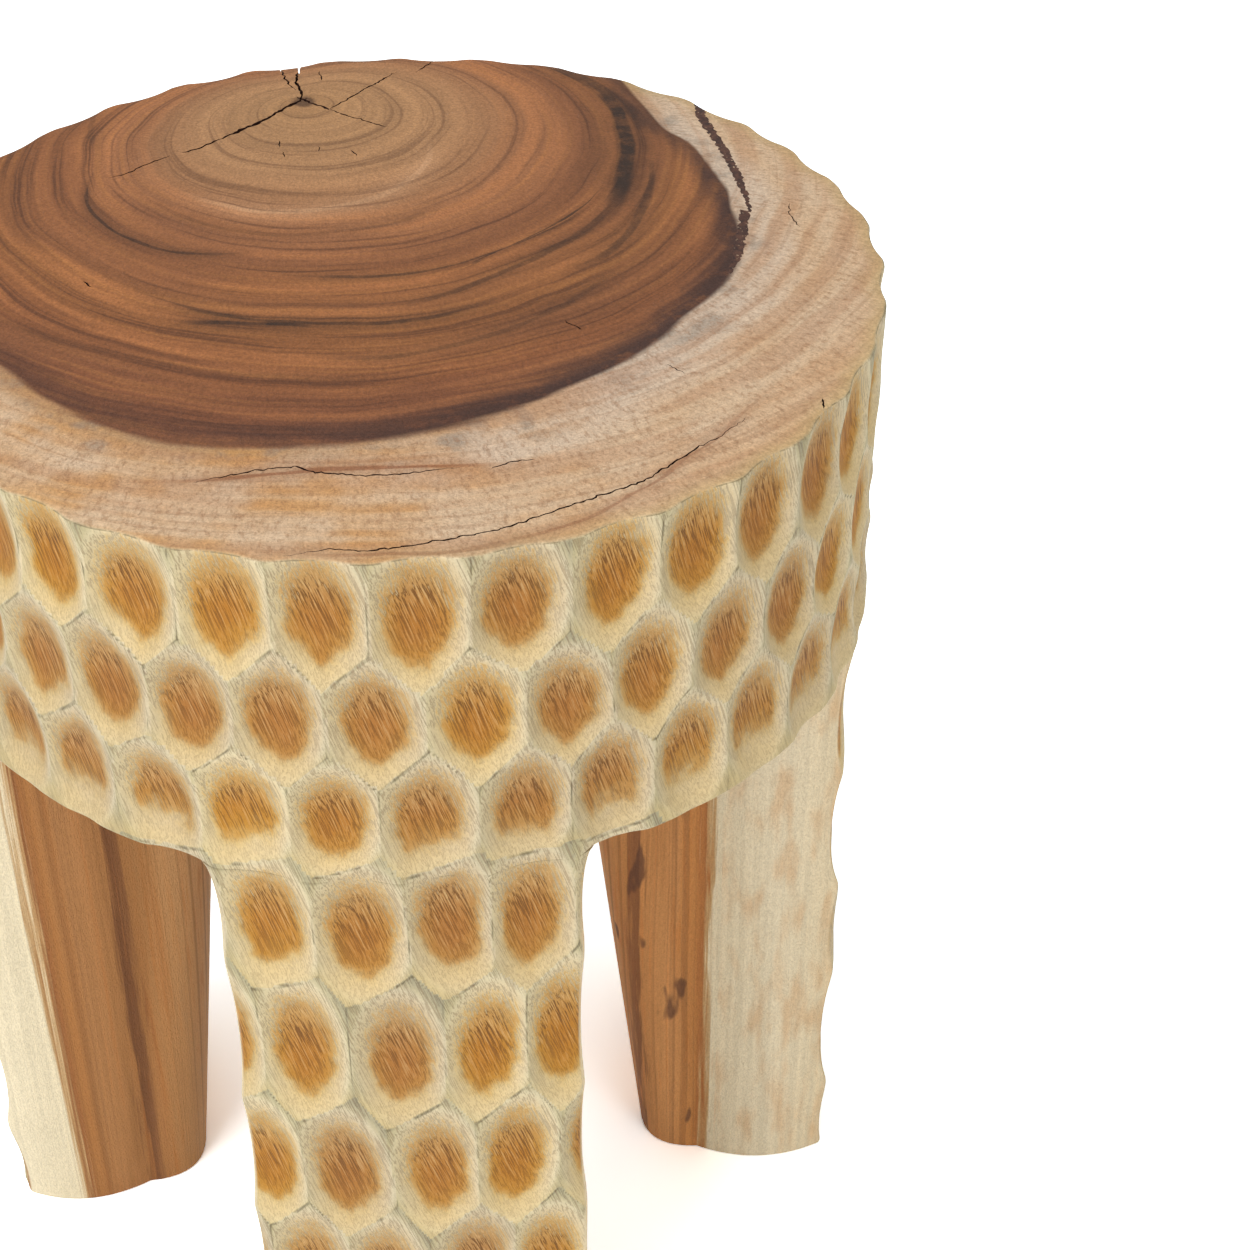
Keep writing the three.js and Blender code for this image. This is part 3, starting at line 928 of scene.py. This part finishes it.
blotches, pore_noise, specks, streaks, strokes, flecks, cloud, smoke, knotty, smudge, crease_run = (
    add(tree, "ShaderNodeTexNoise", {
        "Vector": add(tree, "ShaderNodeMapping", {"Vector": place, "Scale": [1 / size for size in sizes]}),
        "Scale": 1.0, "Detail": detail, "Roughness": roughness,
    }, output="Fac")
    for place, sizes, detail, roughness in NOISES
)
pores = product((pore_noise, 0.52, 0.6))
print("the grain turns", round(math.degrees(TWIST) * STOOL_HEIGHT), "degrees from the floor to the top")

# %% [markdown]
# Some rings are stained black over part of the way round, as minerals do in the living tree. Each
# stain is drawn by a few points on it, given as a direction from the pith and a ring number. A
# parabola through them says which ring is stained in which direction. A stain is a thin dark line
# in a soft, paler one.

# %% Mineral stains along rings
STAINS = [  # points of direction in degrees and ring, half its thickness in rings, and strength
    ([(-144, 0.524), (-120, 0.564), (-102, 0.520)], 0.007, 0.85),
    ([(-180, 0.600), (-170, 0.562), (-158, 0.515)], 0.014, 0.40),
    ([(3, 0.625), (-20, 0.600), (-44, 0.629)], 0.030, 1.00),
    ([(-36, 0.618), (-61, 0.638), (-79, 0.669)], 0.012, 0.70),
    ([(-26, 0.650), (-44, 0.680), (-55, 0.700)], 0.014, 0.75),
    ([(14, 0.595), (-2, 0.620), (-18, 0.650)], 0.035, 0.80),
    ([(-110, 0.680), (-87, 0.709), (-69, 0.700)], 0.007, 0.80),
    ([(-101, 0.728), (-96, 0.716), (-91, 0.713)], 0.010, 0.95),
    ([(-93, 0.567), (-70, 0.584), (-42, 0.583)], 0.006, 0.75),
    ([(-68, 0.600), (-50, 0.577), (-37, 0.586)], 0.003, 0.90),
    ([(-88, 0.790), (-72, 0.785), (-55, 0.740)], 0.010, 0.55),
    ([(-122, 0.870), (-102, 0.850), (-80, 0.845)], 0.014, 0.40),
    ([(-132, 0.448), (-100, 0.455), (-60, 0.410)], 0.008, 0.40),
]
CORE = 0.3  # share of the half thickness that is fully dark
HALO = 4  # half thicknesses from the middle to where the paler line ends
HALO_STRENGTH = 0.5
PAST_END = 5  # degrees from an arc's last point to where it has faded out
FULL = 0.6  # share of an arc's length that is at full strength
degrees_squared = product(degrees, degrees)
ragged_ring = shift(ring, fine, 0.014)


def near_arc(number, points, thickness, strength):
    """How near a ring or edge number is to a parabola in direction: strength on it, 0 off it."""
    directions, places = np.array(points).T
    square, slope, start = (float(factor) for factor in np.polyfit(directions, places, 2))
    line = add(tree, "ShaderNodeMath", {
        0: degrees_squared, 1: square,
        2: add(tree, "ShaderNodeMath", {0: degrees, 1: slope, 2: start}, operation="MULTIPLY_ADD"),
    }, operation="MULTIPLY_ADD")
    middle = float(directions[0] + directions[-1]) / 2
    reach = float(abs(directions[0] - directions[-1])) / 2
    off_line, off_middle = (
        add(tree, "ShaderNodeMath", {
            0: add(tree, "ShaderNodeMath", {0: value, 1: there}, operation="SUBTRACT"),
        }, operation="ABSOLUTE")
        for value, there in ((number, line), (degrees, middle))
    )
    core = product((off_line, thickness, CORE * thickness, 0, strength))
    halo = product((off_line, HALO * thickness, 0, 0, HALO_STRENGTH * strength))
    either = add(tree, "ShaderNodeMath", {0: core, 1: halo}, operation="MAXIMUM")
    return product(either, (off_middle, reach + PAST_END, reach * FULL))


stain = 0.0
for points, thickness, strength in STAINS:
    stain = add(tree, "ShaderNodeMath", {0: stain, 1: near_arc(ragged_ring, points, thickness, strength)},
                operation="MAXIMUM")
print(len(STAINS), "stains")

# %% Heartwood end grain: bands of gold and brown, fine dark lines, stains and the dark edge
HEART_SPAN = 1.1
HEART_END = [  # sanded end grain by ring, from the pith out
    (0.00, "b08459"), (0.10, "b98c61"), (0.26, "b6885f"), (0.36, "ae7d56"), (0.42, "a8724c"),
    (0.50, "a86f48"), (0.58, "a0673f"), (0.66, "a0683f"), (0.74, "96613a"), (0.86, "915b39"),
    (1.00, "8b563a"),
]
PALE_RING = [(-119, 0.392), (-84, 0.372), (-39, 0.263)]
heart_base = add(tree, "ShaderNodeValToRGB", {0: product(shift(ring, middling, 0.03), 1 / HEART_SPAN)},
                 stops=[(place / HEART_SPAN, colour) for place, colour in HEART_END])
outer = product((ring, 0.3, 0.48))
edge_band = product(
    (shift(wavy_edge, fine, 0.03), 0.9, 0.985),
    (degrees, -112, -66, 0.5, 1), (degrees, -8, -34, 0.55, 1),  # darkest at the front right
    (blotches, 0.36, 0.52, 0.75, 1),
)
heart_figure = paint(
    heart_base,
    ("bb7a4a", (middling, 0.52, 0.36, 0, 0.45), outer),  # golden bands
    ("be8049", (fine, 0.48, 0.34, 0, 0.3), outer),  # golden threads
    ("7d5038", (broad, 0.52, 0.68, 0, 0.4), outer),  # brown bands
    ("cfa078", near_arc(ring, PALE_RING, 0.012, 0.7)),  # one pale ring
    ("5a3827", (fine, 0.5, 0.64), (middling, 0.44, 0.6, 0.08, 0.6), (outer, 0, 1, 0.6, 1)),  # fine lines
    ("38281f", stain, (blotches, 0.34, 0.56, 0.75, 1)),  # mineral stains
    ("4a332b", edge_band),
    ("38221a", (shift(pith_distance, blotches, 5.0), 5.5, 2.5), 0.75),  # the pith itself
)
ring_value = add(tree, "ShaderNodeMix", {
    0: outer, 2: product((middling, LOW, HIGH, 1.08, 0.89)), 3: product((middling, LOW, HIGH, 1.08, 0.9)),
}, data_type="FLOAT")
heart_end = add(tree, "ShaderNodeHueSaturation", {
    "Color": heart_figure,
    "Value": product(ring_value, (broad, LOW, HIGH, 1.09, 0.95), (strokes, LOW, HIGH, 0.92, 1.08),
                     (specks, LOW, HIGH, 0.86, 1.14)),
})
print("heartwood end grain goes from", HEART_END[0][1], "at the pith to", HEART_END[-1][1], "at its edge")

# %% Sapwood end grain: cool by the heartwood, orange to the left, and full of fine radial strokes
SAP_SPAN = 0.4
SAP_END = [  # from the heartwood out, by edge number past 1, eased at both ends
    (0.00, "b7936f"), (0.012, "d5b593"), (0.05, "dec2a3"), (0.12, "dabb99"), (0.20, "ddc1a1"),
    (0.30, "dbb995"), (0.40, "d8b28a"),
]
WARM_ARC = [(-98, 1.080), (-89, 1.056), (-79, 1.078)]
SAP_CRACKS = [  # as the mineral stains, but in edge numbers
    (WARM_ARC, 0.008, 0.75),
    ([(-92, 1.235), (-76, 1.250), (-58, 1.225)], 0.006, 0.6),
]
sap_base = add(tree, "ShaderNodeValToRGB", {0: product((wavy_edge, 1, 1 + SAP_SPAN))},
               stops=[(place / SAP_SPAN, colour) for place, colour in SAP_END])
sap_figure = paint(
    sap_base,
    ("dccbb8", (degrees, -98, -72), (degrees, 6, -20), (wavy_edge, 1.15, 1.03, 0, 0.7)),  # the cool part
    ("d0954f", (cloud, 0.34, 0.66, 0.1, 0.85), (middling, 0.36, 0.6, 0.4, 1),
     (degrees, -62, -88, 0.3, 1)),  # the orange part
    ("8f8478", (smoke, 0.5, 0.66, 0, 0.55), (wavy_edge, 1.1, 1.03)),  # grey by the heartwood
    ("c4864f", near_arc(wavy_edge, WARM_ARC, 0.012, 0.8), (cloud, 0.3, 0.6)),  # rust round a crack
    *[("8a5233", near_arc(wavy_edge, *crack)) for crack in SAP_CRACKS],
    ("b98a68", (middling, 0.46, 0.64, 0, 0.4)),  # rings
    ("a3795a", (fine, 0.52, 0.68, 0, 0.3)),  # finer rings
    ("9c6e4c", (strokes, 0.5, 0.66, 0, 0.42)),
    ("a5754f", (flecks, 0.56, 0.68, 0, 0.4), (smoke, 0.36, 0.6)),  # marks of the saw
    ("cbb07a", rim, (degrees, -95, -55, 0.1, 0.55)),  # the stain at the rim
)
sap_end = add(tree, "ShaderNodeHueSaturation", {
    "Color": sap_figure,
    "Value": product((specks, LOW, HIGH, 0.92, 1.12), (strokes, LOW, 0.5, 1.12, 1)),
})
end_wood = paint(sap_end, (heart_end, heart))
rim_line = product(end_grain, (end_grain, 1, 0), 2.4, (rim, 0.5, 1), (blotches, 0.42, 0.56))
print("sapwood end grain goes from", SAP_END[0][1], "at the heartwood to", SAP_END[-1][1], "at the rim")

# %% Side grain: long streaks, and a ragged edge between heartwood and sapwood
SIDE_SPAN = 1.4
SIDE_GRAIN = [  # along the grain by edge number, as the legs' side faces show it
    (0.00, "dcb286"), (0.55, "dab080"), (0.68, "d0a06e"), (0.78, "bf8b57"), (0.825, "b57e4b"),
    (0.842, "8b5d3a"), (0.858, "7e5233"), (0.872, "b07b4a"), (0.93, "ba8452"), (0.97, "b27944"),
    (0.99, "9c6438"), (1.004, "c79f6c"), (1.015, "ecdcba"), (1.15, "ebdcbc"), (1.30, "e6d3ae"),
    (1.36, "d0a26b"), (1.40, "cf9f66"),
]
RIGHT_SIDE = 60  # mm right of the log's axis, where the right leg's flecks and blotches, and the painted light on its heartwood, are at full strength
side_edge = shift(edge, streaks, 0.09)
side_base = add(tree, "ShaderNodeValToRGB", {0: product(side_edge, 1 / SIDE_SPAN)},
                stops=[(place / SIDE_SPAN, colour) for place, colour in SIDE_GRAIN])
side_heart = product((side_edge, 0.985, 1.01, 1, 0))
on_right = product((add(tree, "ShaderNodeSeparateXYZ", {0: in_log}, output="X"), 0, RIGHT_SIDE))
side_figure = paint(
    side_base,
    ("74492b", (fine, 0.5, 0.68), (side_heart, 0, 1, 0, 0.42)),  # dark streaks
    ("a9652f", (streaks, 0.54, 0.68, 0, 0.35), side_heart),  # warm streaks
    ("55382a", (knotty, 0.64, 0.72, 0, 0.8), side_heart, on_right),  # dark flecks in the right leg
    ("cc8f4a", (knotty, 0.44, 0.7, 0.06, 0.42), (side_edge, 1.01, 1.04), on_right),  # its orange blotches
)
# Painted light: the right leg's heartwood, which lies in shade under the seat and behind the front leg, is
# painted up to 1.45 times brighter
side_wood = add(tree, "ShaderNodeHueSaturation", {
    "Color": side_figure,
    "Value": product((streaks, LOW, HIGH, 0.92, 1.08), (specks, LOW, HIGH, 0.94, 1.06),
                     (product(on_right, side_heart), 0, 1, 1, 1.45)),
})
print("side grain has", len(SIDE_GRAIN), "colours from the pith to the log's surface")

# %% Gouged side: golden in the hollows, cream on the ridges
HOLLOW = [  # from the hollow's middle out to the ridge, and past it where the log's old surface is left
    (0.00, "a36a2b"), (0.30, "a76f2e"), (0.54, "ad7a36"), (0.64, "b88f52"), (0.70, "c5a876"),
    (0.78, "ccb48a"), (0.90, "ceba96"), (1.00, "cfc09e"), (1.08, "bbae8b"), (1.20, "a0977a"),
]
HOLLOW_SPAN = 1.3
feather = product((rise, -0.5, 0.4, 0.15, 1.2))  # how far the fibres carry the gold past its edge
out_from_middle = add(tree, "ShaderNodeMix", {
    0: product((bowl, 0.78, 0.95)), 2: shift(shift(bowl, smudge, 0.28), pore_noise, feather), 3: bowl,
}, data_type="FLOAT")
hollow_base = add(tree, "ShaderNodeValToRGB", {0: product(out_from_middle, 1 / HOLLOW_SPAN)},
                  stops=[(place / HOLLOW_SPAN, colour) for place, colour in HOLLOW])
patch = product((out_from_middle, 0.84, 0.5))
bare = product((patch, 0, 1, 1, 0))
toned = add(tree, "ShaderNodeHueSaturation", {
    "Color": paint(hollow_base, ("b48e5c", (rise, -0.1, 0.6, 0, 0.65), patch)),  # duller at its upper end
    "Hue": product((tone, 0, 1, 0.502, 0.498)),
    "Saturation": product((tone, 0, 1, 1.02, 0.97)),
    "Value": product((tone, 0, 1, 1.09, 0.94)),
})
hollowed = paint(
    toned,
    ("b3a47a", (across, 0, -0.95, 0, 0.45), bare),  # painted shade: olive on the left slope, which faces away from the stronger left lamp
    ("d5b97f", (rise, -0.35, -0.85, 0, 0.5), bare),  # painted light: yellow on the lower slope, which faces up
)
print("hollows go from", HOLLOW[0][1], "in the middle to", dict(HOLLOW)[1.0], "on the ridges")

# %% Dark lines in the creases, streaks, and heartwood where it reaches the side
crease = product((lead, 0.7, 0.1), (crease_run, 0.44, 0.6, 0.05, 0.8))
streak_strength = product((bare, 0, 1, 0.95, 0.35), (rise, -0.7, 0.3, 0.3, 1))
sap_hollow = add(tree, "ShaderNodeHueSaturation", {
    "Color": paint(
        hollowed,
        ("6b6248", crease),
        ("6e4620", pores, streak_strength),
        ("dcc08a", (pore_noise, 0.46, 0.32), streak_strength, 0.35),  # pale fibres between the pores
    ),
    "Value": product((specks, LOW, HIGH, 0.94, 1.05)),
})
# Painted shade in the heartwood hollows: darker towards each hollow's middle, and painted light: lighter on
# its ridges
heart_hollow = add(tree, "ShaderNodeHueSaturation", {
    "Color": paint(side_wood, ("5a3d28", crease), ("5b3820", pores, 0.5)),
    "Value": product((patch, 0, 1, 1.15, 0.72)),
})
gouged_wood = paint(sap_hollow, (heart_hollow, heart))
print("wood nodes so far:", len(tree.nodes))

# %% The wood's shader
RELIEF_M = 0.0003  # pores and sanding marks are a few tenths of a millimetre deep at most
whole = paint(
    side_wood,
    (end_wood, end_grain),
    (gouged_wood, gouged),
    ("6b6040", rim_line),  # grime on the rim
    ("38211a", slit),  # painted shade deep in the slits, and old dust
)
tree.links.new(whole, shader.inputs["Base Color"])
relief = add(tree, "ShaderNodeMath", {0: product(pores, -0.6), 1: product(strokes, 0.25)}, operation="ADD")
bump = add(tree, "ShaderNodeBump", {"Height": relief, "Distance": RELIEF_M, "Strength": 0.8})
tree.links.new(bump, shader.inputs["Normal"])
shader.inputs["IOR"].default_value = 1.45
print("wood nodes:", len(tree.nodes))

# %% [markdown]
# ## Filler: resin with dark sawdust
#
# The crack was packed with a dark paste of resin and sawdust and sanded flush. It is a little
# uneven in colour and as dull as the wood, with pale flecks of wood caught in it.

# %% Filler
paste, tree, shader = new_material("resin_and_sawdust", roughness=0.6, specular=0.2)
in_log = add(tree, "ShaderNodeMapping", {
    "Vector": add(tree, "ShaderNodeTexCoord", output="Object"), "Scale": (1 / MM, 1 / MM, 1 / MM),
})
GRAINS = [  # size in mm and detail, where in their noise they start to show and show fully, and colour
    (2.2, 3.0, 0.35, 0.65, "5c3c2e"),  # sawdust
    (1.3, 1.0, 0.68, 0.74, "b79a7c"),  # pale flecks of wood
]
paste_colour = "35201a"
for size, detail, start, end, over in GRAINS:
    grain = add(tree, "ShaderNodeTexNoise", {
        "Vector": in_log, "Scale": 1 / size, "Detail": detail,
    }, output="Fac")
    amount = add(tree, "ShaderNodeMapRange", {"Value": grain, "From Min": start, "From Max": end})
    paste_colour = paint(paste_colour, (over, amount))
tree.links.new(paste_colour, shader.inputs["Base Color"])
print("filler nodes:", len(tree.nodes))

# %% [markdown]
# ## Putting it together
#
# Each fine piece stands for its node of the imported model, rides on the stool's one body, and
# says which finish it has.

# %% Finishes, places and sizes
for piece in [seat, *leg_pieces]:
    piece.data.materials.clear()
    piece.data.materials.append(wood)
for piece in fillers:
    piece.data.materials.clear()
    piece.data.materials.append(paste)
nodes_made = {seat: "seat_drum"}
nodes_made.update({piece: leg["name"] for piece, leg in zip(leg_pieces, LEGS)})
nodes_made.update(zip(fillers, SHAKES))
for piece, node in nodes_made.items():
    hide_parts(node)
    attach(piece, "root")
